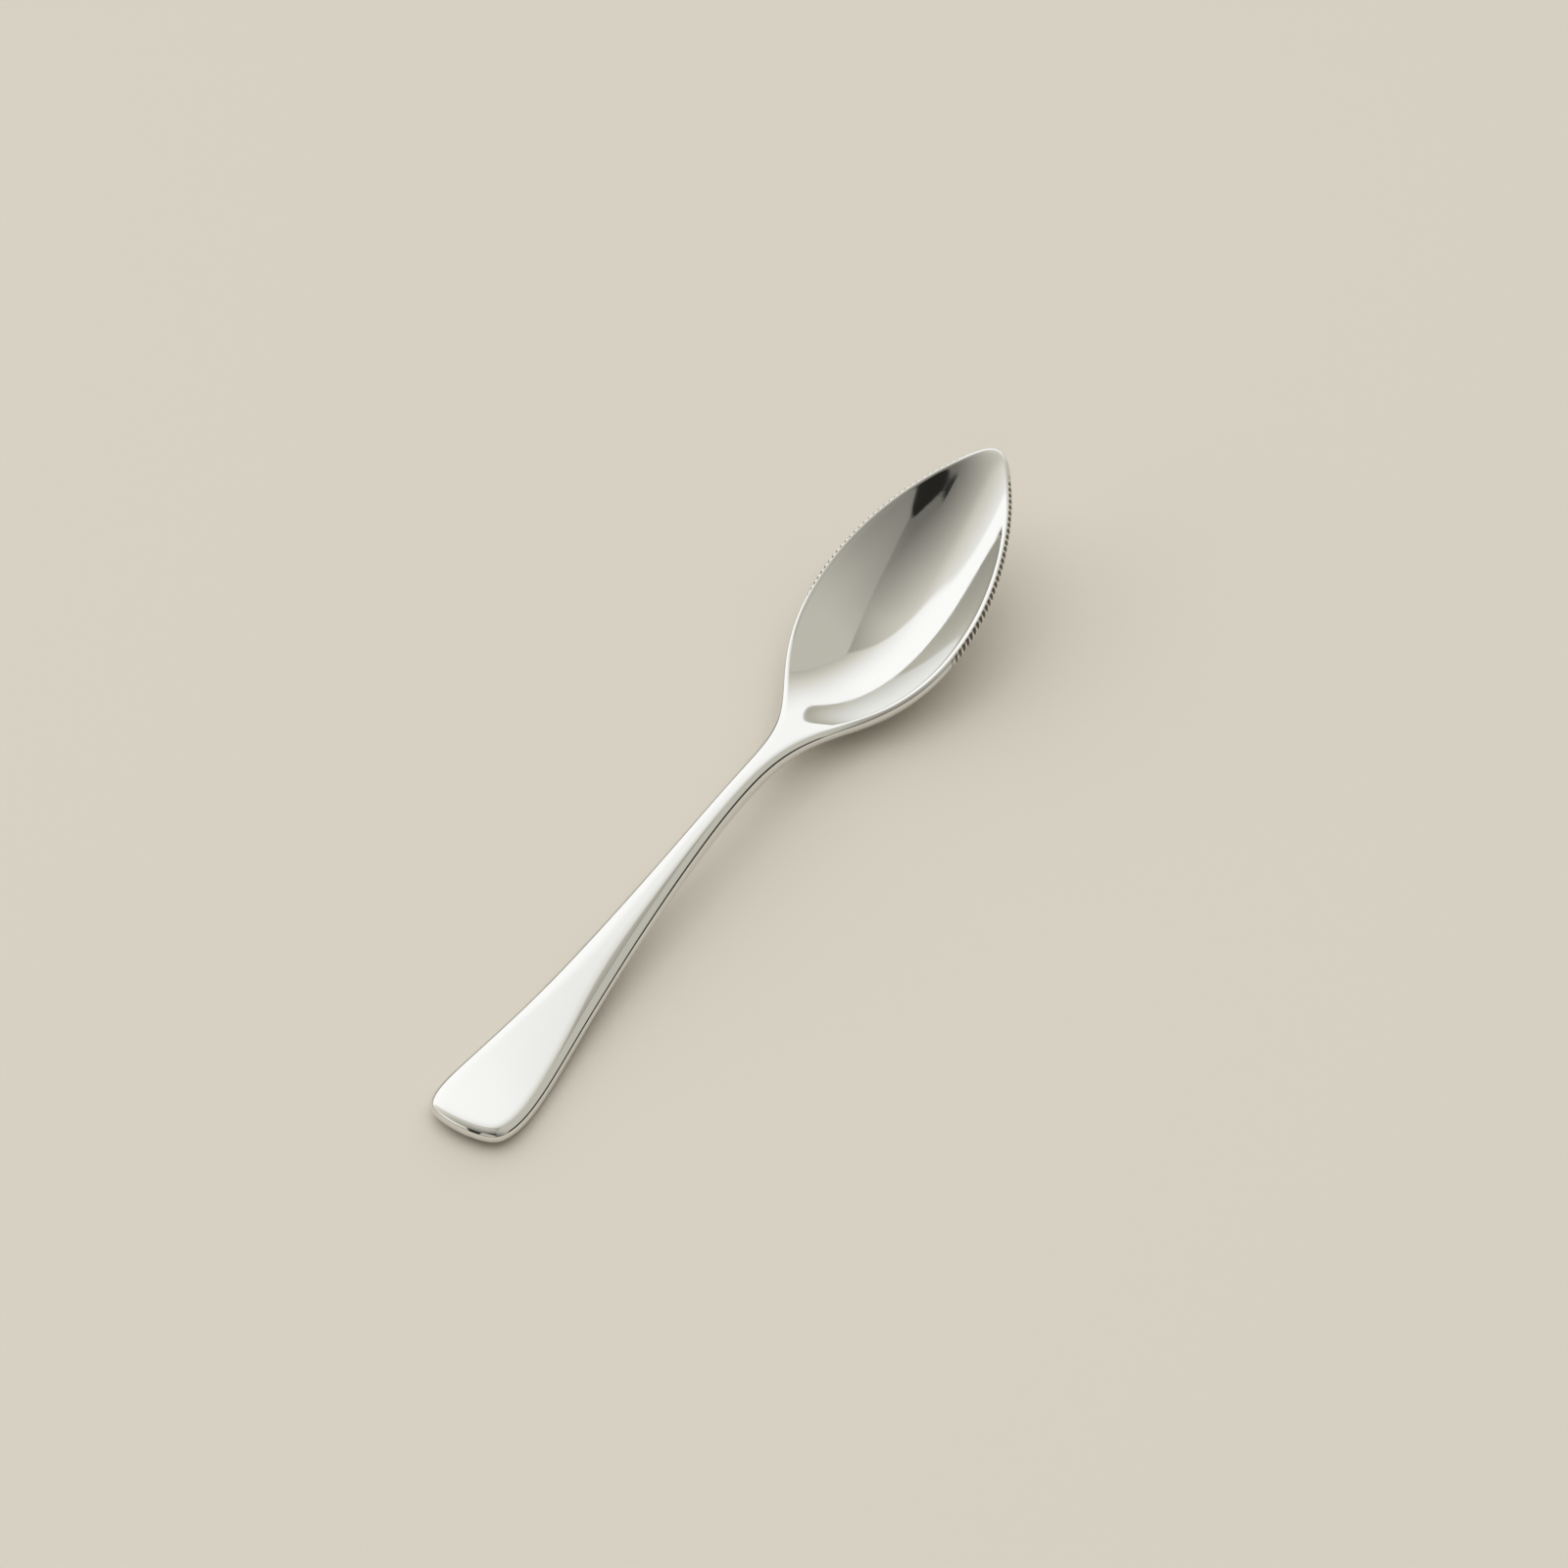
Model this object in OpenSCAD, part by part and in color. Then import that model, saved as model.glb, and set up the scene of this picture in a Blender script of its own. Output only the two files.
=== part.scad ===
// Grapefruit spoon: one forging of polished stainless steel, lying on a table.
// The named regions of the forging meet face to face at flat cross sections.
// X runs from the flared handle end to the pointed tip, Y across, Z up from the table.

/* [Overall] */
// Length of the handle, from its rounded end to the root of the bowl
handle_length = 98; // [85:1:115]
// Length of the bowl, from its root to the pointed tip
bowl_length = 62; // [54:1:72]

/* [Handle] */
// Greatest width of the flared handle end
handle_width = 15.8; // [13:0.1:19]
// Width of the slim stem
stem_width = 4; // [3.2:0.1:5.5]
// Thickness of the steel at the flared end
end_thickness = 3; // [2.2:0.1:3.6]
// Thickness of the steel at the stem
stem_thickness = 3.8; // [3:0.1:4.6]
// Extra crown of the handle's upper face along its middle
crown_height = 0.2; // [0:0.05:0.5]
// Width of the rounding round the edge of the flared end
edge_rounding = 2.4; // [1.6:0.1:2.8]
// Height of the stem's middle line at the top of its arch
arch_height = 7.9; // [6:0.1:10]

/* [Bowl] */
// Greatest width of the bowl over its rim
bowl_width = 29; // [25:0.5:34]
// Depth of the dish below the rim
dish_depth = 6.8; // [5:0.1:8]
// Thickness of the bowl's floor where it is deepest
floor_thickness = 1.5; // [1:0.1:2.2]
// Height of the rim's outer wall, which carries the teeth
rim_height = 1.7; // [1.3:0.1:2.4]
// Width of the smooth lip on top of the rim
lip_width = 1.1; // [0.8:0.1:1.6]
// Width of the rounding on the rim's edges
rim_rounding = 0.7; // [0.4:0.05:0.8]
// Flat land between the root of the bowl and the start of the dish
dish_setback = 1.7; // [1:0.1:4]
// Length over which the dish deepens from the neck
root_run_out = 34; // [26:1:40]
// Length over which the dish rises again toward the tip
tip_run_out = 27; // [20:1:32]
// How far the thick heel under the neck reaches into the bowl
heel_reach = 14; // [10:1:18]
// Height of the rim at the tip above the table
tip_height = 19.3; // [15:0.1:24]

/* [Teeth] */
// Distance from one tooth to the next along the rim
tooth_pitch = 1.1; // [0.9:0.05:2]
// Depth of the notches between the teeth
tooth_depth = 0.45; // [0.2:0.05:0.55]
// Distance along the rim from the root of the bowl to the first notch
plain_root = 24; // [18:0.5:30]
// Distance along the rim from the last notch to the tip
plain_tip = 6; // [4:0.5:12]

/* [Hidden] */

spoon_length = handle_length + bowl_length;
spoon_start = -spoon_length / 2;
steel = [0.80, 0.80, 0.78];

// Where the forging is divided, as shares of the handle's length
stem_start_share = 0.35;
neck_start_share = 0.84;
stem_start = stem_start_share * handle_length;
neck_start = neck_start_share * handle_length;

// Outline of the handle: share of its length, share from the stem's width to the full width
handle_outline_shares = [
    [0.006, 0.60],
    [0.029, 0.93],
    [0.082, 1.02],
    [0.173, 0.84],
    [0.306, 0.51],
    [0.469, 0.25],
    [0.643, 0.08],
    [0.796, 0.00],
    [0.918, 0.04]
];
// Outline of the bowl: share of its length, share of its full width
bowl_outline_shares = [
    [0.000, 0.27],
    [0.097, 0.47],
    [0.202, 0.74],
    [0.315, 0.94],
    [0.435, 1.02],
    [0.556, 1.01],
    [0.669, 0.91],
    [0.774, 0.75],
    [0.863, 0.56],
    [0.935, 0.35],
    [0.987, 0.17]
];
// Height of the handle's middle line: share of its length, share of the arch's height
handle_rise_shares = [
    [0.00, 0.28],
    [0.12, 0.12],
    [0.27, 0.26],
    [0.43, 0.54],
    [0.59, 0.76],
    [0.76, 0.96],
    [0.88, 0.98]
];
// Height of the rim's middle line: share of the bowl's length, share from its seat to the tip
bowl_rise_shares = [
    [-0.03, -0.09],
    [0.13, -0.25],
    [0.29, -0.10],
    [0.48, 0.17],
    [0.74, 0.60],
    [1.00, 1.00]
];
// Thickness along the handle: share of its length, share from the end's to the stem's
handle_thickness_shares = [
    [0.00, 0.0],
    [0.20, 0.0],
    [0.46, 0.5],
    [0.71, 1.0],
    [0.90, 0.9]
];
// Thickness at the rim: share of the bowl's length, share from the stem's to the rim's
rim_thickness_shares = [
    [0.00, 0.55],
    [0.20, 1.00],
    [1.00, 1.00]
];
// Rows of points from the edge inward: angles round the edge, then shares of the flat
edge_angles = [0, 30, 60, 90];
face_shares = [0.93, 0.8, 0.62, 0.42, 0.2, 0];
// How square the rounded edges are: 2 is an ellipse
edge_power = 2.4;
// How quickly the dish and the belly deepen from each end: 1 is a straight slope
root_power = 2.5;
tip_power = 3;
// How strongly their depth follows the width: 1 is in proportion
dish_width_power = 0.8;
belly_width_power = 1.3;
// Softness of the lip's inner edge, as a share of the dish's depth
lip_softness_share = 0.04;
// Least half width that the hollows reckon with, as a share of the lip
least_width_share = 0.25;
// How much of the stem's half width its rounded edge takes up
stem_rounding_share = 0.9;
// Share of the bowl's length over which the edge rows turn to follow its outline
turning_share = 0.17;
// Where one tooth's land ends and where its notch is deepest, as shares of the pitch
tooth_shares = [0, 0.35, 0.675];
// How deep each row of points is notched, from the edge inward over the top and underneath
top_notch_shares = [1, 1, 0.6];
under_notch_shares = [1, 1, 1, 1, 0.5];

table_steps = 400;
// Crowding of the handle end's sections toward its rounded tip: 1 is evenly spaced
end_crowding = 1.4;
handle_end_rings = 20;
stem_rings = 10;
neck_rings = 9;
root_rings = 18;
tip_rings = 10;

half_bowl = bowl_width / 2;
half_stem = stem_width / 2;
half_rim = rim_height / 2;
belly_depth = dish_depth + floor_thickness - rim_height;
seat_height = belly_depth + half_rim;
dish_half = half_bowl - lip_width;
dish_start = handle_length + dish_setback;
heel_end = handle_length + heel_reach;
least_width = least_width_share * lip_width;

// Smooth curve that leans toward each control point in turn
function spline_point(c, t) =
    let (i = max(0, min(floor(t), len(c) - 4)), f = t - i)
    (pow(1 - f, 3) * c[i]
     + (3 * pow(f, 3) - 6 * pow(f, 2) + 4) * c[i + 1]
     + (3 * f - 3 * pow(f, 3) + 3 * pow(f, 2) + 1) * c[i + 2]
     + pow(f, 3) * c[i + 3]) / 6;

// Points along the smooth curve, as a table of [place, value]
function spline_table(c) =
    [for (k = [0:table_steps]) spline_point(c, k * (len(c) - 3) / table_steps)];

// The same for a curve that starts and ends on its first and last control points
function graph_table(c) =
    let (last = len(c) - 1)
    spline_table(concat([2 * c[0] - c[1]], c, [2 * c[last] - c[last - 1]]));

// Rises smoothly from 0 to 1 while x does
function ease(x) = let (q = max(0, min(1, x))) q * q * q * (q * (6 * q - 15) + 10);
function mix(a, b, share) = a + (b - a) * share;

// Half of the plan outline, from the middle of the handle end round to the tip
outline_controls = concat(
    [for (p = handle_outline_shares)
        [p[0] * handle_length, mix(half_stem, handle_width / 2, p[1])]],
    [for (p = bowl_outline_shares)
        [handle_length + p[0] * bowl_length, p[1] * half_bowl]]
);
first_control = outline_controls[0];
last_control = outline_controls[len(outline_controls) - 1];
outline_table = spline_table(concat(
    [[first_control[0], -first_control[1]], [-first_control[0] / 2, 0]],
    outline_controls,
    [[(3 * spoon_length - last_control[0]) / 2, 0], [last_control[0], -last_control[1]]]
));

mid_table = graph_table(concat(
    [for (p = handle_rise_shares) [p[0] * handle_length, p[1] * arch_height]],
    [for (p = bowl_rise_shares)
        [handle_length + p[0] * bowl_length, mix(seat_height, tip_height, p[1])]]
));
thickness_table = graph_table(concat(
    [for (p = handle_thickness_shares)
        [p[0] * handle_length, mix(end_thickness, stem_thickness, p[1])]],
    [for (p = rim_thickness_shares)
        [handle_length + p[0] * bowl_length, mix(stem_thickness, rim_height, p[1])]]
));

function half_width(s) = lookup(s, outline_table);
function mid_height(s) = lookup(s, mid_table);
function thickness(s) = lookup(s, thickness_table);

// Running length along the half outline
run_table = [
    for (k = 0, run = 0; k <= table_steps;
         k = k + 1, run = run + (k <= table_steps
             ? norm(outline_table[k] - outline_table[k - 1]) : 0))
        run
];
place_of_run = [for (k = [0:table_steps]) [run_table[k], outline_table[k][0]]];
width_of_run = [for (k = [0:table_steps]) [run_table[k], outline_table[k][1]]];
run_of_place = [for (k = [0:table_steps]) [outline_table[k][0], run_table[k]]];
full_run = run_table[table_steps];
bowl_run = lookup(handle_length, run_of_place);
run_step = full_run / table_steps;

function outline_at(run) = [lookup(run, place_of_run), lookup(run, width_of_run)];
function inward_at(run) =
    let (d = outline_at(min(full_run, run + run_step)) - outline_at(max(0, run - run_step)))
    [d[1], -d[0]] / norm(d);

// Width of the rounded edge at a place along the spoon
function edge_width(s, w) =
    let (slim = ease((s - stem_start / 2) / stem_start),
         rim = ease((s - neck_start) / (heel_end - neck_start)))
    mix(mix(edge_rounding, stem_rounding_share * w, slim), rim_rounding, rim);

// How far the edge's rows follow the outline's own direction rather than straight across
function turn_share(s) =
    max(ease(1 - s / stem_start), ease((s - handle_length) / (turning_share * bowl_length)));

// Share of its full depth that a hollow has at a distance from its end
function run_out(distance, reach, power) = 1 - pow(1 - max(0, min(1, distance / reach)), power);

// Depth of the dish below the rim's upper face
function dish_drop(s, y) =
    let (w = max(half_width(s) - lip_width, least_width),
         b = 1 - pow(y / w, 2),
         across = (b + norm([b, lip_softness_share])) / 2,
         root = run_out(s - dish_start, root_run_out, root_power),
         tip = run_out(spoon_length - lip_width - s, tip_run_out, tip_power))
    dish_depth * pow(w / dish_half, dish_width_power) * root * tip * across;

// Depth of the belly below the rim's lower face
function belly_drop(s, y) =
    let (w = max(half_width(s), least_width),
         heel = ease((s - neck_start) / (heel_end - neck_start)),
         tip = run_out(spoon_length - s, tip_run_out, tip_power),
         across = max(0, 1 - pow(y / w, 2)))
    belly_depth * pow(w / half_bowl, belly_width_power) * heel * tip * across;

// Near both round ends a section's middle stays back from its edge
function lag(run) =
    let (reach = handle_width / 2)
    edge_rounding * (ease(1 - run / reach) - ease(1 - (full_run - run) / reach));

// One row of a section: [place, distance from the axis, rise of the edge from 0 to 1]
function row(run, notch, j) =
    let (p = outline_at(run),
         n = inward_at(run),
         turn = turn_share(p[0]),
         inward = [n[0] * turn, mix(-1, n[1], turn)],
         edges = len(edge_angles),
         a = edge_angles[min(j, edges - 1)],
         d = edge_width(p[0], p[1]) * (1 - pow(cos(a), 2 / edge_power)),
         q = p + (d + notch) * inward,
         share = j < edges ? 1 : face_shares[j - edges])
    [q[0] + (1 - share * share) * lag(run), max(0, q[1]) * share, pow(sin(a), 2 / edge_power)];

last_row = len(edge_angles) + len(face_shares) - 1;

// Extra height of the handle's upper face, which fades out toward the bowl
function crown(s, y) =
    crown_height * (1 - pow(2 * y / handle_width, 2)) * ease((handle_length - s) / stem_start);

// Points of the upper and lower face; notches fade out over the lip and under the belly
function top_point(run, notch, j) =
    let (share = j < len(top_notch_shares) ? top_notch_shares[j] : 0,
         r = row(run, notch * share, j),
         face = thickness(r[0]) / 2 + crown(r[0], r[1]),
         rise = j == 0 ? 0 : r[2] * face - dish_drop(r[0], r[1]))
    [r[0], r[1], mid_height(r[0]) + rise];
function under_point(run, notch, j) =
    let (share = j < len(under_notch_shares) ? under_notch_shares[j] : 0,
         r = row(run, notch * share, j),
         fall = r[2] * thickness(r[0]) / 2 + belly_drop(r[0], r[1]))
    [r[0], r[1], mid_height(r[0]) - fall];

function flip(p) = [p[0], -p[1], p[2]];

// One closed section, from the left edge over the top to the right edge and back underneath
function ring(station) =
    let (top = [for (j = [0:last_row]) top_point(station[0], station[1], j)],
         under = [for (j = [0:last_row]) under_point(station[0], station[1], j)])
    concat(
        top,
        [for (j = [last_row - 1:-1:0]) flip(top[j])],
        [for (j = [1:last_row]) flip(under[j])],
        [for (j = [last_row - 1:-1:1]) under[j]]
    );

// The underside's lowest point, which rests on the table
lowest = min([for (p = mid_table) p[1] - thickness(p[0]) / 2 - belly_drop(p[0], 0)]);

// Stations along the outline: [running length, depth of notch]
function even_stations(from, to, count) =
    [for (k = [0:count]) [mix(from, to, k / count), 0]];
function run_at(s) = lookup(s, run_of_place);
end_gap = run_step / 2;
handle_end_stations = [
    for (k = [0:handle_end_rings])
        [mix(end_gap, run_at(stem_start), pow(k / handle_end_rings, end_crowding)), 0]
];
stem_stations = even_stations(run_at(stem_start), run_at(neck_start), stem_rings);
neck_stations = even_stations(run_at(neck_start), bowl_run, neck_rings);
tooth_count = floor((full_run - bowl_run - plain_root - plain_tip) / tooth_pitch);
teeth_start = full_run - plain_tip - tooth_count * tooth_pitch;
tooth_stations = [
    for (k = [0:tooth_count - 1])
        for (m = [0:len(tooth_shares) - 1])
            [teeth_start + (k + tooth_shares[m]) * tooth_pitch, m == 2 ? tooth_depth : 0]
];
root_stations = even_stations(bowl_run, teeth_start, root_rings);
tip_stations = even_stations(full_run - plain_tip, full_run - end_gap, tip_rings);
bowl_stations = concat(
    [for (k = [0:root_rings - 1]) root_stations[k]],
    tooth_stations,
    tip_stations
);

// Middle point of a flat section, which its cap fans out from
function middle(r) = (r[last_row] + r[3 * last_row]) / 2;
function flat_cap(base, hub, count) =
    [for (j = [0:count - 1]) [hub, base + (j + 1) % count, base + j]];

// The last section round an end is closed by strips between its left and right halves
function round_cap(base, count) =
    let (quarter = count / 4,
         left = [for (j = [quarter:-1:-quarter]) (j + count) % count],
         right = [for (j = [quarter:3 * quarter]) j])
    [for (k = [0:2 * quarter - 1])
        let (a = base + left[k],
             b = base + left[k + 1],
             c = base + right[k + 1],
             d = base + right[k])
        each concat(k < 2 * quarter - 1 ? [[c, b, a]] : [], k > 0 ? [[d, c, a]] : [])];
function turned(faces) = [for (f = faces) [f[2], f[1], f[0]]];

// A closed solid through a row of sections, either end of which can be round
module forged(stations, round_start = false, round_end = false) {
    rings = [for (st = stations) ring(st)];
    count = len(rings[0]);
    last = len(rings) - 1;
    hubs = concat(round_start ? [] : [middle(rings[0])], round_end ? [] : [middle(rings[last])]);
    points = concat([for (r = rings) each r], hubs);
    start_hub = (last + 1) * count;
    end_hub = start_hub + len(hubs) - 1;
    end_base = last * count;
    sides = [
        for (i = [0:last - 1])
            for (j = [0:count - 1])
                let (a = i * count + j, b = i * count + (j + 1) % count)
                each [[a, b, b + count], [a, b + count, a + count]]
    ];
    start_cap = round_start ? turned(round_cap(0, count)) : flat_cap(0, start_hub, count);
    end_cap = round_end ? round_cap(end_base, count) : turned(flat_cap(end_base, end_hub, count));
    color(steel)
    translate([spoon_start, 0, -lowest])
    polyhedron(points = points, faces = concat(sides, start_cap, end_cap), convexity = 10);
}

module handle_end() {
    forged(handle_end_stations, round_start = true);
}

module stem() {
    forged(stem_stations);
}

module neck() {
    forged(neck_stations);
}

module bowl() {
    forged(bowl_stations, round_end = true);
}

handle_end();
stem();
neck();
bowl();
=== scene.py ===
import bisect
import math

import bpy
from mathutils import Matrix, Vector


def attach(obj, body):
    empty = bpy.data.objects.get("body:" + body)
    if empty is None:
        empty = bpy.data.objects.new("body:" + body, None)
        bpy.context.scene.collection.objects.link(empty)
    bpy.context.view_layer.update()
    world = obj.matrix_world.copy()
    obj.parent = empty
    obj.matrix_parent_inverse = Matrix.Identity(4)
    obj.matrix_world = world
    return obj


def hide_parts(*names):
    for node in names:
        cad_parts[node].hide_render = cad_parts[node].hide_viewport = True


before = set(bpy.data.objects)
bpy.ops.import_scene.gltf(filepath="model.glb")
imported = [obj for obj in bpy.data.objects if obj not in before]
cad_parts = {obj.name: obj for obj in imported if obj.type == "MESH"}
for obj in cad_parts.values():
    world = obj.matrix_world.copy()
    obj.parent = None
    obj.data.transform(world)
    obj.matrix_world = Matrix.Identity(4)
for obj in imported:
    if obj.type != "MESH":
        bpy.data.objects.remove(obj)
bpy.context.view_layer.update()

# Grapefruit spoon of mirror-polished stainless steel, lying on a pale floor.
# The solids are regions of one forging, so one seamless skin with the full
# serration stands for all of them. Sizes of the spoon and the camera are millimetres
# until they are set on an object; those of the floor and the lamps are metres.
MM = 0.001

# Lengths
HANDLE_LENGTH = 98.0
BOWL_LENGTH = 62.0
SPOON_LENGTH = HANDLE_LENGTH + BOWL_LENGTH

# Handle
HANDLE_WIDTH = 15.8
STEM_WIDTH = 4.0
END_THICKNESS = 3.0
STEM_THICKNESS = 3.8
CROWN_HEIGHT = 0.2
EDGE_ROUNDING = 2.4
ARCH_HEIGHT = 7.9

# Bowl
BOWL_WIDTH = 29.0
DISH_DEPTH = 6.8
FLOOR_THICKNESS = 1.5
RIM_HEIGHT = 1.7
LIP_WIDTH = 1.1
RIM_ROUNDING = 0.7
DISH_SETBACK = 1.7
ROOT_RUN_OUT = 34.0
TIP_RUN_OUT = 27.0
HEEL_REACH = 14.0
TIP_HEIGHT = 19.3

# Teeth
TOOTH_PITCH = 1.1
TOOTH_DEPTH = 0.55
TOOTH_LAND_SHARE = 0.24
NOTCH_POWER = 0.5
FULL_NOTCH_SHARE = 1 / 3
UNDER_FADE_SHARE = 0.09
GROWING_TEETH = 9
SHRINKING_TEETH = 3
PLAIN_ROOT = 24.0
PLAIN_TIP = 6.0

# Derived sizes
BELLY_DEPTH = DISH_DEPTH + FLOOR_THICKNESS - RIM_HEIGHT
SEAT_HEIGHT = BELLY_DEPTH + RIM_HEIGHT / 2
DISH_START = HANDLE_LENGTH + DISH_SETBACK
HEEL_END = HANDLE_LENGTH + HEEL_REACH
LEAST_WIDTH = LIP_WIDTH / 4
END_REACH = 1.5 * HANDLE_WIDTH
TIP_REACH = 0.5 * HANDLE_WIDTH
STEM_START = 0.35 * HANDLE_LENGTH
NECK_START = 0.84 * HANDLE_LENGTH

# Outline of the handle: share of its length, share from the stem's width to the full width
HANDLE_OUTLINE_SHARES = [
    (0.006, 0.60), (0.029, 0.93), (0.082, 1.02), (0.173, 0.84), (0.306, 0.51),
    (0.469, 0.25), (0.643, 0.08), (0.796, 0.00), (0.918, 0.04),
]
# Outline of the bowl: share of its length, share of its full width
BOWL_OUTLINE_SHARES = [
    (0.000, 0.27), (0.097, 0.47), (0.202, 0.74), (0.315, 0.94), (0.435, 1.02), (0.556, 1.01),
    (0.669, 0.91), (0.774, 0.75), (0.863, 0.56), (0.935, 0.35), (0.987, 0.17),
]
# Height of the handle's middle line: share of its length, share of the arch's height
HANDLE_RISE_SHARES = [
    (0.00, 0.28), (0.12, 0.12), (0.27, 0.26), (0.43, 0.54), (0.59, 0.76), (0.76, 0.96), (0.88, 0.98),
]
# Height of the rim's middle line: share of the bowl's length, share from its seat to the tip
BOWL_RISE_SHARES = [
    (-0.03, -0.09), (0.13, -0.25), (0.29, -0.10), (0.48, 0.17), (0.74, 0.60), (1.00, 1.00),
]
# Thickness along the handle: share of its length, share from the end's to the stem's
HANDLE_THICKNESS_SHARES = [(0.00, 0.0), (0.20, 0.0), (0.46, 0.5), (0.71, 1.0), (0.90, 0.9)]
# Thickness at the bowl's root, as a share from the stem's to the rim's, and the share of
# the bowl's length that it takes to come down to the rim's
ROOT_THICKNESS_SHARE = 0.55
RIM_THICKNESS_SHARE = 0.2
# How the curves bend, and how far the softened and turned stretches reach
EDGE_POWER = 2.4
ROOT_POWER = 2.5
TIP_POWER = 3.0
DISH_WIDTH_POWER = 0.8
BELLY_WIDTH_POWER = 1.3
LIP_SOFTNESS_SHARE = 0.04
STEM_ROUNDING_SHARE = 0.9
TURNING_SHARE = 0.17

# Finish of the steel, with painted shade in the tooth cuts: scales are per metre, depths are metres
STEEL = (0.80, 0.80, 0.78, 1.0)
# Painted shade: colour of the steel in the tooth cuts, darkened to stand in for the shade and dark
# reflections inside the notches
CUT_PAINTED_SHADE = (0.16, 0.14, 0.11, 1.0)
CUT_ROUGHNESS = 0.42
CUT_SPAN = (0.05, 0.35)
POLISH_SPAN = (0.035, 0.075)
HAZE_SCALE = 260.0
HAZE_DETAIL = 4.0
HAZE_SPAN = (0.35, 0.65)
HAIRLINE_SCALE = (90.0, 2400.0, 2400.0)
HAIRLINE_DETAIL = 2.0
HAIRLINE_DEPTH = 0.0000012
WAVE_SCALE = 55.0
WAVE_DETAIL = 1.0
WAVE_DEPTH = 0.00001
# Sockets of a Mix node that hold colours
COLOUR_A, COLOUR_B, COLOUR_RESULT = 6, 7, 2

# Floor, with half its width in metres
FLOOR_COLOUR = (0.72, 0.68, 0.61, 1.0)
FLOOR_ROUGHNESS = 0.9
FLOOR_HALF = 4.0

# How finely the skin is drawn
TABLE_STEPS = 4000
DIRECTION_STEPS = 4
EDGE_ROWS = 14
FACE_ROWS = 34
FACE_CROWDING = 1.25
RINGS_PER_TOOTH = 10
HANDLE_STEP = 0.5
HANDLE_CROWDING = 1.15
BOWL_STEP = 0.25
END_GAP = 0.04


def mix(a, b, share):
    return a + (b - a) * share


def ease(x):
    """Rise smoothly from 0 to 1 while x does."""
    q = max(0.0, min(1.0, x))
    return q * q * q * (q * (6 * q - 15) + 10)


def spline_point(controls, t):
    """A point of the smooth curve that leans toward each control point in turn."""
    i = max(0, min(int(t), len(controls) - 4))
    f = t - i
    weights = (
        (1 - f) ** 3,
        3 * f ** 3 - 6 * f ** 2 + 4,
        3 * f - 3 * f ** 3 + 3 * f ** 2 + 1,
        f ** 3,
    )
    return tuple(
        sum(weights[k] * controls[i + k][axis] for k in range(4)) / 6 for axis in (0, 1)
    )


def spline_table(controls):
    """Many points of that curve, from its first span to its last."""
    spans = len(controls) - 3
    return [spline_point(controls, k * spans / TABLE_STEPS) for k in range(TABLE_STEPS + 1)]


def graph_table(controls):
    """The same for a curve that starts and ends on its first and last control points."""
    before = tuple(2 * a - b for a, b in zip(controls[0], controls[1]))
    after = tuple(2 * a - b for a, b in zip(controls[-1], controls[-2]))
    return spline_table([before] + controls + [after])


class Lookup:
    """Values between the entries of a table of (place, value)."""

    def __init__(self, table):
        self.places = [p for p, _ in table]
        self.values = [v for _, v in table]

    def __call__(self, place):
        i = bisect.bisect_right(self.places, place)
        if i == 0:
            return self.values[0]
        if i == len(self.places):
            return self.values[-1]
        span = self.places[i] - self.places[i - 1]
        share = (place - self.places[i - 1]) / span if span else 0
        return mix(self.values[i - 1], self.values[i], share)


def outline_controls():
    """Half of the plan outline, from the middle of the handle end round to the tip."""
    handle = [
        (along * HANDLE_LENGTH, mix(STEM_WIDTH / 2, HANDLE_WIDTH / 2, out))
        for along, out in HANDLE_OUTLINE_SHARES
    ]
    bowl = [
        (HANDLE_LENGTH + along * BOWL_LENGTH, out * BOWL_WIDTH / 2)
        for along, out in BOWL_OUTLINE_SHARES
    ]
    points = handle + bowl
    first, last = points[0], points[-1]
    return (
        [(first[0], -first[1]), (-first[0] / 2, 0.0)]
        + points
        + [((3 * SPOON_LENGTH - last[0]) / 2, 0.0), (last[0], -last[1])]
    )


def mid_controls():
    """Height of the middle line, along the handle and on along the rim."""
    handle = [(along * HANDLE_LENGTH, up * ARCH_HEIGHT) for along, up in HANDLE_RISE_SHARES]
    bowl = [
        (HANDLE_LENGTH + along * BOWL_LENGTH, mix(SEAT_HEIGHT, TIP_HEIGHT, up))
        for along, up in BOWL_RISE_SHARES
    ]
    return handle + bowl


def thickness_controls():
    """Thickness of the steel at its edge, from the handle end to the tip."""
    handle = [
        (along * HANDLE_LENGTH, mix(END_THICKNESS, STEM_THICKNESS, share))
        for along, share in HANDLE_THICKNESS_SHARES
    ]
    return handle + [
        (HANDLE_LENGTH, mix(STEM_THICKNESS, RIM_HEIGHT, ROOT_THICKNESS_SHARE)),
        (mix(HANDLE_LENGTH, SPOON_LENGTH, RIM_THICKNESS_SHARE), RIM_HEIGHT),
        (SPOON_LENGTH, RIM_HEIGHT),
    ]


OUTLINE = spline_table(outline_controls())
half_width = Lookup(OUTLINE)
mid_height = Lookup(graph_table(mid_controls()))
thickness = Lookup(graph_table(thickness_controls()))


def running_lengths(points):
    """Distance along the outline from its start to each of its points."""
    runs = [0.0]
    for a, b in zip(points, points[1:]):
        runs.append(runs[-1] + math.dist(a, b))
    return runs


RUNS = running_lengths(OUTLINE)
FULL_RUN = RUNS[-1]
RUN_STEP = FULL_RUN / TABLE_STEPS
place_of_run = Lookup(list(zip(RUNS, [p[0] for p in OUTLINE])))
width_of_run = Lookup(list(zip(RUNS, [p[1] for p in OUTLINE])))
run_of_place = Lookup(list(zip([p[0] for p in OUTLINE], RUNS)))
BOWL_RUN = run_of_place(HANDLE_LENGTH)
HALF_BOWL = BOWL_WIDTH / 2
DISH_HALF = HALF_BOWL - LIP_WIDTH


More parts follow.
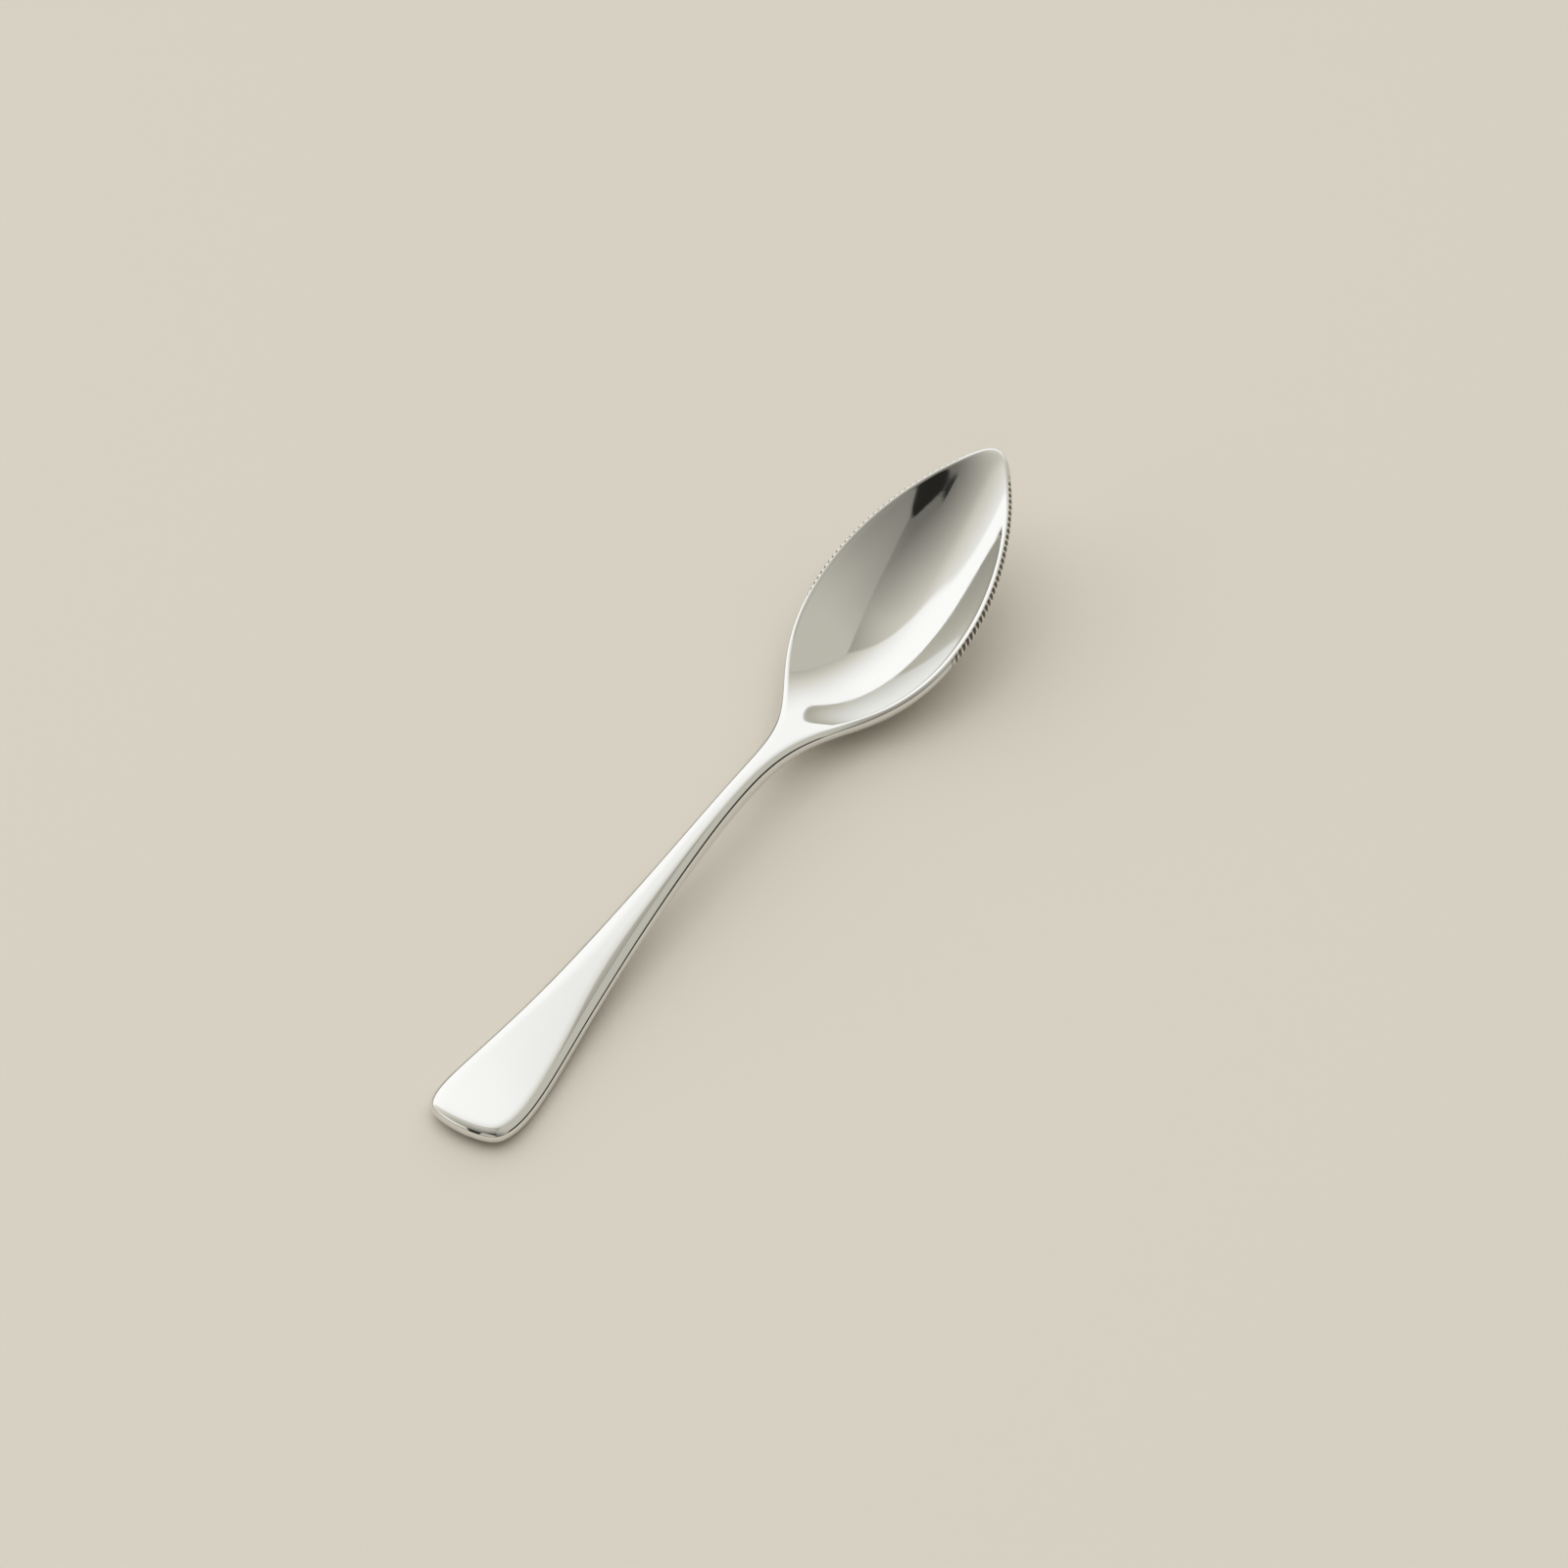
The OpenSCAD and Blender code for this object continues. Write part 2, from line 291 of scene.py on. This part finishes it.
def inward_at(run):
    """Unit direction in plan, square to the outline and into the steel."""
    reach = DIRECTION_STEPS * RUN_STEP
    low, high = max(0.0, run - reach), min(FULL_RUN, run + reach)
    dx = place_of_run(high) - place_of_run(low)
    dy = width_of_run(high) - width_of_run(low)
    size = math.hypot(dx, dy)
    return dy / size, -dx / size


def edge_width(s, w):
    """Width of the rounded edge at a place along the spoon."""
    slim = ease((s - STEM_START / 2) / STEM_START)
    rim = ease((s - NECK_START) / (HEEL_END - NECK_START))
    return mix(mix(EDGE_ROUNDING, STEM_ROUNDING_SHARE * w, slim), RIM_ROUNDING, rim)


def turn_share(s):
    """How far the edge's rows follow the outline's direction rather than straight across."""
    return max(ease(1 - s / STEM_START), ease((s - HANDLE_LENGTH) / (TURNING_SHARE * BOWL_LENGTH)))


def run_out(distance, reach, power):
    """Share of its full depth that a hollow has at a distance from its end."""
    return 1 - (1 - max(0.0, min(1.0, distance / reach))) ** power


def dish_drop(s, y):
    """Depth of the dish below the rim's upper face."""
    w = max(half_width(s) - LIP_WIDTH, LEAST_WIDTH)
    b = 1 - (y / w) ** 2
    across = (b + math.hypot(b, LIP_SOFTNESS_SHARE)) / 2
    root = run_out(s - DISH_START, ROOT_RUN_OUT, ROOT_POWER)
    tip = run_out(SPOON_LENGTH - LIP_WIDTH - s, TIP_RUN_OUT, TIP_POWER)
    return DISH_DEPTH * (w / DISH_HALF) ** DISH_WIDTH_POWER * root * tip * across


def belly_drop(s, y):
    """Depth of the belly below the rim's lower face."""
    w = max(half_width(s), LEAST_WIDTH)
    heel = ease((s - NECK_START) / (HEEL_END - NECK_START))
    tip = run_out(SPOON_LENGTH - s, TIP_RUN_OUT, TIP_POWER)
    across = max(0.0, 1 - (y / w) ** 2)
    return BELLY_DEPTH * (w / HALF_BOWL) ** BELLY_WIDTH_POWER * heel * tip * across


def lag(run):
    """Near both round ends a section's middle stays back from its edge."""
    from_end, from_tip = run / END_REACH, (FULL_RUN - run) / TIP_REACH
    return EDGE_ROUNDING * (ease(1 - from_end) - ease(1 - from_tip))


EDGE_ANGLES = [k / (EDGE_ROWS - 1) * math.pi / 2 for k in range(EDGE_ROWS)]
FACE_SHARES = [1 - (k / FACE_ROWS) ** FACE_CROWDING for k in range(1, FACE_ROWS + 1)]
LAST_ROW = EDGE_ROWS + FACE_ROWS - 1


def row(run, notch, j):
    """One row of a section: place along, distance from the axis, rise of the edge."""
    s, w = place_of_run(run), width_of_run(run)
    n = inward_at(run)
    turn = turn_share(s)
    inward = (n[0] * turn, mix(-1.0, n[1], turn))
    angle = EDGE_ANGLES[min(j, EDGE_ROWS - 1)]
    share = 1.0 if j < EDGE_ROWS else FACE_SHARES[j - EDGE_ROWS]
    cosine = max(0.0, math.cos(angle))
    d = edge_width(s, w) * (1 - cosine ** (2 / EDGE_POWER)) + notch
    along = s + d * inward[0] + (1 - share * share) * lag(run)
    return along, max(0.0, w + d * inward[1]) * share, math.sin(angle) ** (2 / EDGE_POWER)


def top_notch(j):
    """The notches run up the outer wall and fade out before the lip."""
    up = j / (EDGE_ROWS - 1)
    return 1 - ease((up - FULL_NOTCH_SHARE) / (1 - FULL_NOTCH_SHARE)) if j < EDGE_ROWS else 0.0


def under_notch(j):
    """Under the rim the notches fade out along the belly."""
    return 1.0 if j < EDGE_ROWS else 1 - ease((1 - FACE_SHARES[j - EDGE_ROWS]) / UNDER_FADE_SHARE)


def top_point(run, notch, j):
    """A point of the upper face or the upper half of the edge."""
    s, y, rise = row(run, notch * top_notch(j), j)
    z = mid_height(s)
    if j:
        crown = CROWN_HEIGHT * (1 - (2 * y / HANDLE_WIDTH) ** 2)
        crown *= ease((HANDLE_LENGTH - s) / STEM_START)
        z += rise * (thickness(s) / 2 + crown) - dish_drop(s, y)
    return s, y, z


def under_point(run, notch, j):
    """A point of the lower face or the lower half of the edge."""
    s, y, rise = row(run, notch * under_notch(j), j)
    return s, y, mid_height(s) - rise * thickness(s) / 2 - belly_drop(s, y)


def ring(run, notch):
    """One closed section, from the left edge over the top to the right and back underneath."""
    top = [top_point(run, notch, j) for j in range(LAST_ROW + 1)]
    under = [under_point(run, notch, j) for j in range(LAST_ROW + 1)]
    right_top = [(s, -y, z) for s, y, z in reversed(top[:-1])]
    right_under = [(s, -y, z) for s, y, z in under[1:]]
    return top + right_top + right_under + under[-2:0:-1]


def tooth_profile(share):
    """Depth of the notch across one pitch, as a share: a land, then a rounded notch."""
    if share < TOOTH_LAND_SHARE:
        return 0.0
    wave = (share - TOOTH_LAND_SHARE) / (1 - TOOTH_LAND_SHARE)
    return math.sin(math.pi * wave) ** NOTCH_POWER


def plain_stations(start, end, count, crowding=1.0):
    """Sections without a notch, from start up to but not including end."""
    return [(mix(start, end, (k / count) ** crowding), 0.0) for k in range(count)]


def tooth_stations(start, count):
    """Sections of the serration, whose first teeth grow and whose last ones shrink."""
    found = []
    for k in range(count):
        depth = TOOTH_DEPTH * ease((k + 1) / GROWING_TEETH) * ease((count - k) / SHRINKING_TEETH)
        for m in range(RINGS_PER_TOOTH):
            share = m / RINGS_PER_TOOTH
            found.append((start + (k + share) * TOOTH_PITCH, depth * tooth_profile(share)))
    return found


def stations():
    """Running length and depth of notch for every section of the skin."""
    teeth = int((FULL_RUN - BOWL_RUN - PLAIN_ROOT - PLAIN_TIP) / TOOTH_PITCH)
    teeth_end, last = FULL_RUN - PLAIN_TIP, FULL_RUN - END_GAP
    teeth_start = teeth_end - teeth * TOOTH_PITCH
    return (
        plain_stations(END_GAP, BOWL_RUN, int((BOWL_RUN - END_GAP) / HANDLE_STEP), HANDLE_CROWDING)
        + plain_stations(BOWL_RUN, teeth_start, int((teeth_start - BOWL_RUN) / BOWL_STEP))
        + tooth_stations(teeth_start, teeth)
        + plain_stations(teeth_end, last, int(PLAIN_TIP / BOWL_STEP))
        + [(last, 0.0)]
    )


def end_strip(base, count, turned):
    """Faces that close an end section between its left and right halves."""
    quarter = count // 4
    left = [(quarter - k) % count for k in range(2 * quarter + 1)]
    right = [quarter + k for k in range(2 * quarter + 1)]
    faces = []
    for k in range(2 * quarter):
        a, b = base + left[k], base + left[k + 1]
        c, d = base + right[k + 1], base + right[k]
        face = [d, c, b, a] if a != d and b != c else ([c, b, a] if a == d else [d, c, a])
        faces.append(face[::-1] if turned else face)
    return faces


def cut_shares(notch):
    """How much of each point of a section lies in the cut between two teeth, where the steel is rougher
    and its colour is darkened as painted shade.
    """
    depth = notch / TOOTH_DEPTH
    top = [depth * top_notch(j) for j in range(LAST_ROW + 1)]
    under = [depth * under_notch(j) for j in range(LAST_ROW + 1)]
    return top + top[-2::-1] + under[1:] + under[-2:0:-1]


def skin_faces(ring_count, count):
    """Faces between neighbouring sections, and those that close both ends."""
    faces = []
    for i in range(ring_count - 1):
        for j in range(count):
            a, b = i * count + j, i * count + (j + 1) % count
            faces.append([a, b, b + count, a + count])
    return faces + end_strip(0, count, True) + end_strip((ring_count - 1) * count, count, False)


def add_object(name, data):
    """A new object in the scene, at the origin."""
    added = bpy.data.objects.new(name, data)
    bpy.context.scene.collection.objects.link(added)
    return added


def forged_skin():
    """The whole spoon as one closed, smooth mesh."""
    places = stations()
    rings = [ring(run, notch) for run, notch in places]
    points = [point for part in rings for point in part]
    lowest = min(z for _, _, z in points)
    vertices = [((s - SPOON_LENGTH / 2) * MM, y * MM, (z - lowest) * MM) for s, y, z in points]
    mesh = bpy.data.meshes.new("spoon_skin")
    mesh.from_pydata(vertices, [], skin_faces(len(rings), len(rings[0])))
    mesh.shade_smooth()
    # Share of the tooth cut at each point, which the material turns into roughness and painted shade
    cut = mesh.attributes.new("cut", "FLOAT", "POINT")
    cut.data.foreach_set("value", [share for _, notch in places for share in cut_shares(notch)])
    return add_object("spoon_skin", mesh)


def new_material(name):
    material = bpy.data.materials.new(name)
    material.use_nodes = True
    return material


def node_of(material, kind, **values):
    """A new shader node with its inputs set by name, from values or from other sockets."""
    tree = material.node_tree
    node = tree.nodes.new(kind)
    for name, value in values.items():
        socket = node.inputs[name.replace("_", " ")]
        if isinstance(value, bpy.types.NodeSocket):
            tree.links.new(value, socket)
        else:
            socket.default_value = value
    return node


def spread(material, value, low, high, to_low, to_high):
    """Map a value from one span to another."""
    names = {"Value": value, "From_Min": low, "From_Max": high, "To_Min": to_low, "To_Max": to_high}
    return node_of(material, "ShaderNodeMapRange", **names).outputs["Result"]


def noise(material, place, scale, detail):
    node = node_of(material, "ShaderNodeTexNoise", Vector=place, Scale=scale, Detail=detail)
    return node.outputs["Fac"]


def polished_steel():
    """Mirror-polished stainless steel with faint haze and hairlines; in the tooth cuts it is rougher and
    its colour is darkened as painted shade.
    """
    material = new_material("polished_steel")
    nodes, links = material.node_tree.nodes, material.node_tree.links
    place = nodes.new("ShaderNodeTexCoord").outputs["Object"]
    cut = nodes.new("ShaderNodeAttribute")
    cut.attribute_name = "cut"
    # Share of the tooth cut: it makes the steel rougher and paints shade into its colour
    dull_and_shaded = spread(material, cut.outputs["Fac"], *CUT_SPAN, 0.0, 1.0)

    haze = noise(material, place, HAZE_SCALE, HAZE_DETAIL)
    polish = spread(material, haze, *HAZE_SPAN, *POLISH_SPAN)
    roughness = spread(material, dull_and_shaded, 0.0, 1.0, polish, CUT_ROUGHNESS)
    # Colour of the steel, darkened toward painted shade in the tooth cuts
    colour = node_of(material, "ShaderNodeMix")
    colour.data_type = "RGBA"
    colour.inputs[COLOUR_A].default_value = STEEL
    colour.inputs[COLOUR_B].default_value = CUT_PAINTED_SHADE
    links.new(dull_and_shaded, colour.inputs[0])

    along = node_of(material, "ShaderNodeMapping", Vector=place, Scale=HAIRLINE_SCALE).outputs[0]
    hairlines = noise(material, along, 1.0, HAIRLINE_DETAIL)
    wave = noise(material, place, WAVE_SCALE, WAVE_DETAIL)
    fine = node_of(material, "ShaderNodeBump", Height=hairlines, Distance=HAIRLINE_DEPTH).outputs[0]
    broad = node_of(material, "ShaderNodeBump", Height=wave, Distance=WAVE_DEPTH, Normal=fine)

    shader = nodes["Principled BSDF"]
    shader.inputs["Metallic"].default_value = 1.0
    links.new(colour.outputs[COLOUR_RESULT], shader.inputs["Base Color"])
    links.new(roughness, shader.inputs["Roughness"])
    links.new(broad.outputs[0], shader.inputs["Normal"])
    return material


def pale_floor():
    material = new_material("pale_floor")
    shader = material.node_tree.nodes["Principled BSDF"]
    shader.inputs["Base Color"].default_value = FLOOR_COLOUR
    shader.inputs["Roughness"].default_value = FLOOR_ROUGHNESS
    return material


def lay_floor():
    mesh = bpy.data.meshes.new("floor")
    corners = [(x * FLOOR_HALF, y * FLOOR_HALF, 0) for x, y in ((-1, -1), (1, -1), (1, 1), (-1, 1))]
    mesh.from_pydata(corners, [], [[0, 1, 2, 3]])
    floor = add_object("floor", mesh)
    mesh.materials.append(pale_floor())


# Camera: solved from the spoon's outline in the photograph
VIEW_AZIMUTH = math.radians(-57.093)
VIEW_ELEVATION = math.radians(46.851)
VIEW_DISTANCE = 1290.8
FRAMED_WIDTH = 255.2
AIM_RIGHT = 7.69
AIM_UP = 6.84
SENSOR = 36.0
CLIP_END = 20000.0


def place_camera():
    """The photo's own view; AIM_RIGHT and AIM_UP shift its middle off the origin."""
    a, e = VIEW_AZIMUTH, VIEW_ELEVATION
    right = Vector((math.cos(a), math.sin(a), 0))
    forward = Vector((-math.sin(a) * math.cos(e), math.cos(a) * math.cos(e), -math.sin(e)))
    up = right.cross(forward)
    aim = right * AIM_RIGHT + up * AIM_UP
    data = bpy.data.cameras.new("camera")
    data.sensor_width = SENSOR
    data.lens = SENSOR * VIEW_DISTANCE / FRAMED_WIDTH
    data.clip_end = CLIP_END * MM
    camera = add_object("camera", data)
    camera.location = (aim - forward * VIEW_DISTANCE) * MM
    camera.rotation_euler = forward.to_track_quat("-Z", "Y").to_euler()
    bpy.context.scene.camera = camera


def soft_lamp(name, place, size, power):
    """A square lamp that looks at the spoon and does not show in the mirror-polished steel."""
    data = bpy.data.lights.new(name, "AREA")
    data.shape = "SQUARE"
    data.size = size
    data.energy = power
    lamp = add_object(name, data)
    lamp.location = place
    lamp.rotation_euler = (-Vector(place)).to_track_quat("-Z", "Y").to_euler()
    lamp.visible_glossy = False


class Chart:
    """World nodes that give the light's level by degrees from the zenith, toward +X and +Y."""

    # Both axes of a curve run from CURVE_LOW over CURVE_SPAN
    CURVE_LOW, CURVE_SPAN = -60, 160

    def __init__(self, tree):
        self.nodes, self.links = tree.nodes, tree.links
        direction = self.nodes.new("ShaderNodeTexCoord").outputs["Generated"]
        split = self.nodes.new("ShaderNodeSeparateXYZ")
        self.links.new(direction, split.inputs[0])
        x, y, z = split.outputs
        squares = self.math("ADD", self.math("POWER", x, 2.0), self.math("POWER", y, 2.0))
        self.tilt = self.math("DEGREES", self.math("ARCCOSINE", z))
        reach = self.math("DIVIDE", self.tilt, self.math("MAXIMUM", self.math("SQRT", squares), 1e-4))
        self.x = self.math("MULTIPLY", x, reach)
        self.y = self.math("MULTIPLY", y, reach)
        self.along = {"x": self.x, "y": self.y, "tilt": self.tilt}

    def math(self, operation, *values):
        node = self.nodes.new("ShaderNodeMath")
        node.operation = operation
        for socket, value in zip(node.inputs, values):
            if isinstance(value, (int, float)):
                socket.default_value = value
            else:
                self.links.new(value, socket)
        return node.outputs[0]

    def total(self, *terms):
        """Sum of terms, each a plain number or (value, factor)."""
        found = 0.0
        for term in terms:
            value = self.math("MULTIPLY", *term) if isinstance(term, tuple) else term
            found = self.math("ADD", found, value)
        return found

    def fade(self, value, start, stop):
        """Rises from 0 at start to 1 at stop; start may be the greater."""
        node = self.nodes.new("ShaderNodeMapRange")
        node.interpolation_type = "SMOOTHSTEP"
        self.links.new(value, node.inputs["Value"])
        node.inputs["From Min"].default_value = start
        node.inputs["From Max"].default_value = stop
        return node.outputs["Result"]

    def share(self, name, start, full):
        """The same for a direction that is known by name."""
        return self.fade(self.along[name], start, full)

    def changed(self, value, *changes):
        """A value plus changes, each (name of a direction, where it starts, where it is full, amount)."""
        return self.total(value, *[(self.share(*span), amount) for *span, amount in changes])

    def past(self, start, end):
        """Degrees by which a direction lies to the left of the line from start to end."""
        dx, dy = end[0] - start[0], end[1] - start[1]
        size = math.hypot(dx, dy)
        offset = (dy * start[0] - dx * start[1]) / size
        return self.total(offset, (self.x, -dy / size), (self.y, dx / size))

    def curve(self, value, points):
        """Smooth curve through points."""
        low, span = self.CURVE_LOW, self.CURVE_SPAN
        node = self.nodes.new("ShaderNodeFloatCurve")
        own = node.mapping.curves[0].points
        for _ in range(len(points) - 2):
            own.new(0.5, 0.5)
        for point, (place, level) in zip(own, points):
            point.location = ((place - low) / span, (level - low) / span)
            point.handle_type = "AUTO_CLAMPED"
        node.mapping.update()
        self.links.new(self.total(-low / span, (value, 1 / span)), node.inputs["Value"])
        return self.total(low, (node.outputs[0], span))

    def lay(self, below, level, *shares):
        """Lay a level over the one below as far as all the shares allow."""
        share = shares[0]
        for other in shares[1:]:
            share = self.math("MULTIPLY", share, other)
        node = self.nodes.new("ShaderNodeMix")
        for socket, value in zip(node.inputs, (share, None, below, level)):
            if isinstance(value, (int, float)):
                socket.default_value = value
            elif value:
                self.links.new(value, socket)
        return node.outputs[0]


# The studio, in degrees from the zenith. A change is (name of a direction, where it starts,
# where it is full, amount), and an edge is the same without an amount.
# Softbox: the line of its foot, and its side as height y, then the x where it starts
BOX_FOOT = ((62, -19), (28, -5))
BOX_FOOT_BLUR = 1
BOX_SIDE = [(-20, 28), (-5, 28), (0, 25), (10, 19), (20, 12.5), (30, 5.5), (40, 0), (60, -3), (79, -12)]
BOX_SIDE_BLUR = 1.3
BOX_SIDE_BLUR_CHANGE = ("y", 20, 45, 2.2)
# What the steel shows of the softbox, in hundredths, by degrees above its foot
BOX_LEVELS = [(-5, 44), (1, 48), (5, 54), (8, 60), (14, 70), (20, 79), (27, 86.5), (34, 92), (42, 95)]
BOX_LEVELS += [(60, 96), (100, 96)]
BOX_REFLECTED = 0.8
BOX_CHANGE = ("x", 40, 65, -0.05)
# Wall below the softbox: the line of its edge, and its levels
WALL_EDGE = ((27.5, -8.4), (-18, -38.5))
WALL_BLUR = 0.8
WALL_LEVEL = 0.23
WALL_CHANGES = (("x", -32, 30, 0.36), ("y", -42, -62, -0.05))
# Dim room: its level rises toward +X and +Y, by degrees within a reach
ROOM_LEVEL = 0.51
ROOM_RISES = (0.0075, 0.0065)
ROOM_REACH_X = (-40.0, 6.0)
ROOM_REACH_Y = -28.0
ROOM_CHANGES = (("y", 25, 42, 0.08), ("x", 8, 27, -0.10))
ROOM_LEAST = 0.18
ROOM_BEHIND = ("x", -33, -55, 0.36)
# Side of the camera: height y, then x
CAMERA_SIDE = [(-50, -22.5), (-38, -19.5), (-31, -24), (-26, -26.8), (-21, -27.9), (-10, -27.9)]
# The grey strip starts nearer the horizon toward the far sides of the softbox
STRIP_CHANGES = (("x", 55, 70, -4.5), ("y", 30, 50, -5.0))
# What is laid over all that, one on the other: level, then its edges
LAYERS = {
    "grey strip under the softbox": (0.40, ("strip", 76.5, 78.5), ("x", 6, 10), ("y", -50, -40)),
    "dark strip beside it": (0.03, ("tilt", 71, 73), ("x", 14, 24), ("y", -40, -50)),
    "dark patch past the handle end": (0.05, ("x", -42, -47), ("y", -6, -2), ("y", 20, 14)),
    "camera": (0.02, ("camera", 0.6, -0.6), ("y", -50, -48), ("y", -14, -16), ("x", -38, -34)),
    "dark horizon": (0.08, ("tilt", 84, 86.5)),
}


def room_level(chart):
    near_x = chart.math("MAXIMUM", chart.math("MINIMUM", chart.x, ROOM_REACH_X[1]), ROOM_REACH_X[0])
    near_y = chart.math("MAXIMUM", chart.y, ROOM_REACH_Y)
    room = chart.total(ROOM_LEVEL, (near_x, ROOM_RISES[0]), (near_y, ROOM_RISES[1]))
    room = chart.math("MAXIMUM", chart.changed(room, *ROOM_CHANGES), ROOM_LEAST)
    return chart.changed(room, ROOM_BEHIND)


def box_side_share(chart):
    blur = chart.changed(BOX_SIDE_BLUR, BOX_SIDE_BLUR_CHANGE)
    inside = chart.math("SUBTRACT", chart.x, chart.curve(chart.y, BOX_SIDE))
    return chart.fade(chart.math("DIVIDE", inside, blur), -1, 1)


def light_levels(chart):
    """Level of the light all round: dim room, grey wall, softbox, then the layers over them."""
    fade = chart.fade
    above = chart.past(BOX_FOOT[1], BOX_FOOT[0])
    below = fade(above, WALL_BLUR, -WALL_BLUR)
    under = fade(chart.past(*WALL_EDGE), -WALL_BLUR, WALL_BLUR)
    level = chart.lay(room_level(chart), chart.changed(WALL_LEVEL, *WALL_CHANGES), under, below)
    box = chart.total(0.0, (chart.curve(above, BOX_LEVELS), 1 / (100 * BOX_REFLECTED)))
    box = chart.changed(box, BOX_CHANGE)
    level = chart.lay(level, box, box_side_share(chart), fade(above, -BOX_FOOT_BLUR, BOX_FOOT_BLUR))
    chart.along["strip"] = chart.changed(chart.tilt, *STRIP_CHANGES)
    chart.along["camera"] = chart.math("SUBTRACT", chart.x, chart.curve(chart.y, CAMERA_SIDE))
    for shade, *edges in LAYERS.values():
        level = chart.lay(level, shade, *[chart.share(*edge) for edge in edges])
    return level


# Colour of the light, from the dim levels to the bright ones
WARM = (1.035, 1.0, 0.885, 1.0)
PLAIN = (1.0, 1.0, 1.0, 1.0)
PLAIN_SPAN = (0.6, 1.1)


def light_studio():
    """The world whose reflections the steel shows."""
    world = bpy.data.worlds.new("studio")
    world.use_nodes = True
    tree = world.node_tree
    chart = Chart(tree)
    level = light_levels(chart)
    tint = tree.nodes.new("ShaderNodeMix")
    tint.data_type = "RGBA"
    tint.inputs[COLOUR_A].default_value = WARM
    tint.inputs[COLOUR_B].default_value = PLAIN
    tree.links.new(chart.fade(level, *PLAIN_SPAN), tint.inputs[0])
    background = tree.nodes["Background"]
    tree.links.new(tint.outputs[COLOUR_RESULT], background.inputs["Color"])
    tree.links.new(level, background.inputs["Strength"])
    bpy.context.scene.world = world
    bpy.context.scene.view_settings.view_transform = "Standard"


# Lamps that light the floor: place, size in metres and power in watts
KEY_LAMP = ((-0.25, 0.85, 0.9), 0.9, 1.4)
TOP_LAMP = ((0.0, 0.0, 2.0), 2.5, 16.5)

skin = forged_skin()
skin.data.materials.append(polished_steel())
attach(skin, "root")
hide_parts("handle_end", "stem", "neck", "bowl")
lay_floor()
place_camera()
light_studio()
soft_lamp("key", *KEY_LAMP)
soft_lamp("top", *TOP_LAMP)
